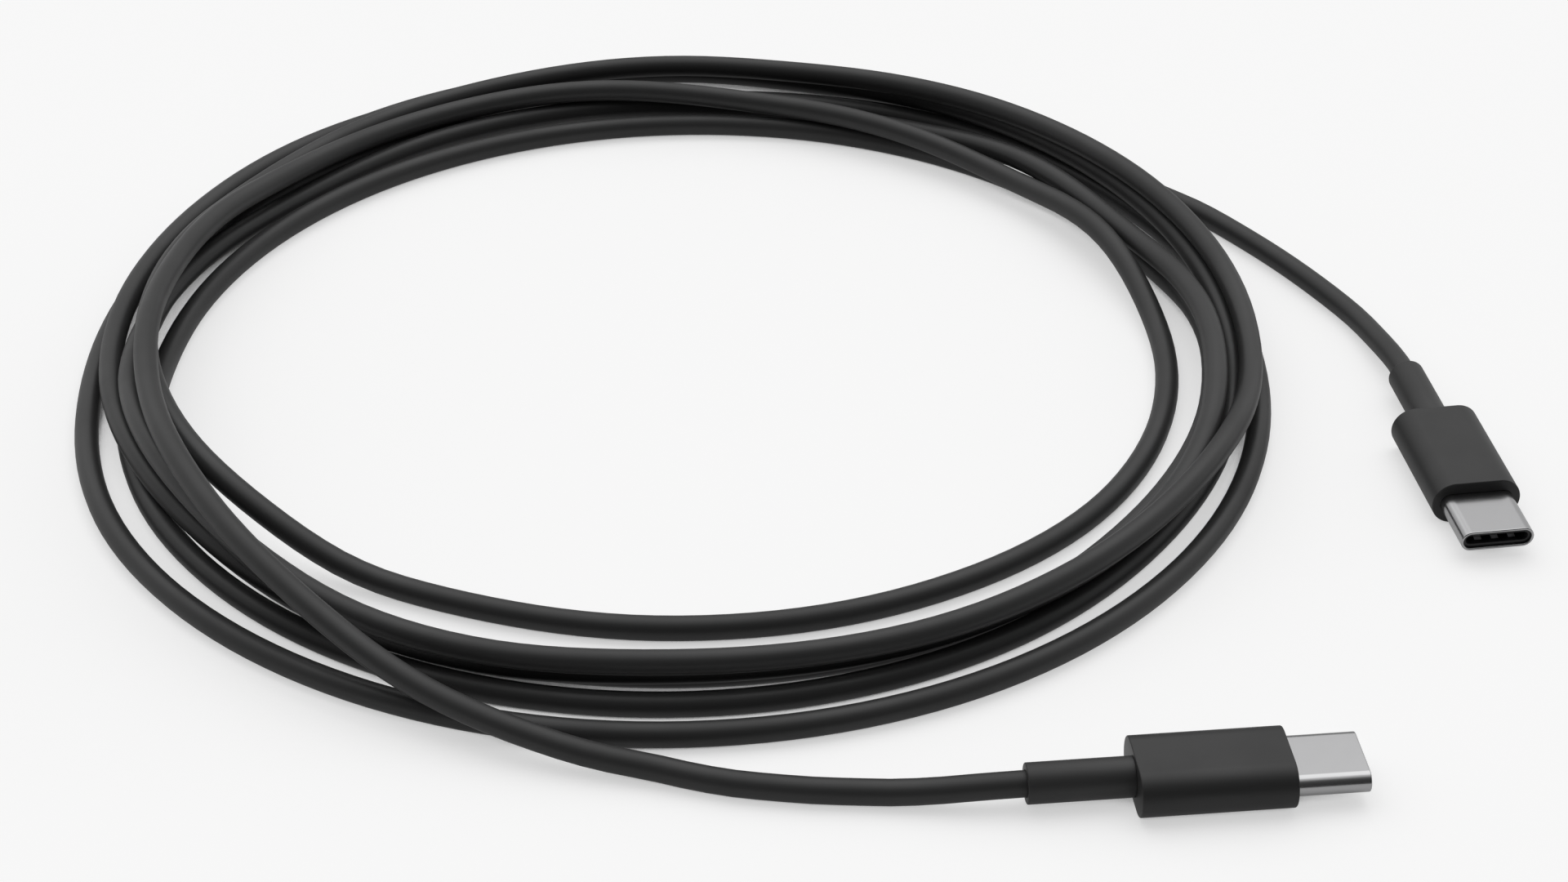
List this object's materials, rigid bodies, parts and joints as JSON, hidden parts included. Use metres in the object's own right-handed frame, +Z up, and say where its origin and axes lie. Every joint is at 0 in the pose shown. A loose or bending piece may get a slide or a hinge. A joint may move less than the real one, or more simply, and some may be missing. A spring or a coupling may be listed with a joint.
{
  "type": "usb-c cable",
  "caption": "Thin charcoal cable in a loose round coil, with a slim oval plug and strain relief on each end.",
  "frame": {"origin": "on the floor, under the middle of the whole object's footprint", "axes": "+Z up, +X to the right and +Y away from the viewer as the cable lies in the picture"},
  "size_m": [0.1638, 0.1557, 0.0066],
  "materials": {
    "cable_jacket": "soft matte",
    "sleeve": "soft matte",
    "housing": "soft matte",
    "shell": "satin",
    "liner": "matte"
  },
  "bodies": {
    "root": {"cable_coil": "cable_jacket", "cable_tail_front": "cable_jacket", "cable_tail_rear": "cable_jacket", "front_strain_relief": "sleeve", "rear_strain_relief": "sleeve", "front_plug_housing": "housing", "rear_plug_housing": "housing", "front_plug_shell": "shell", "rear_plug_shell": "shell", "front_plug_liner": "liner", "rear_plug_liner": "liner"}
  },
  "joints": []
}
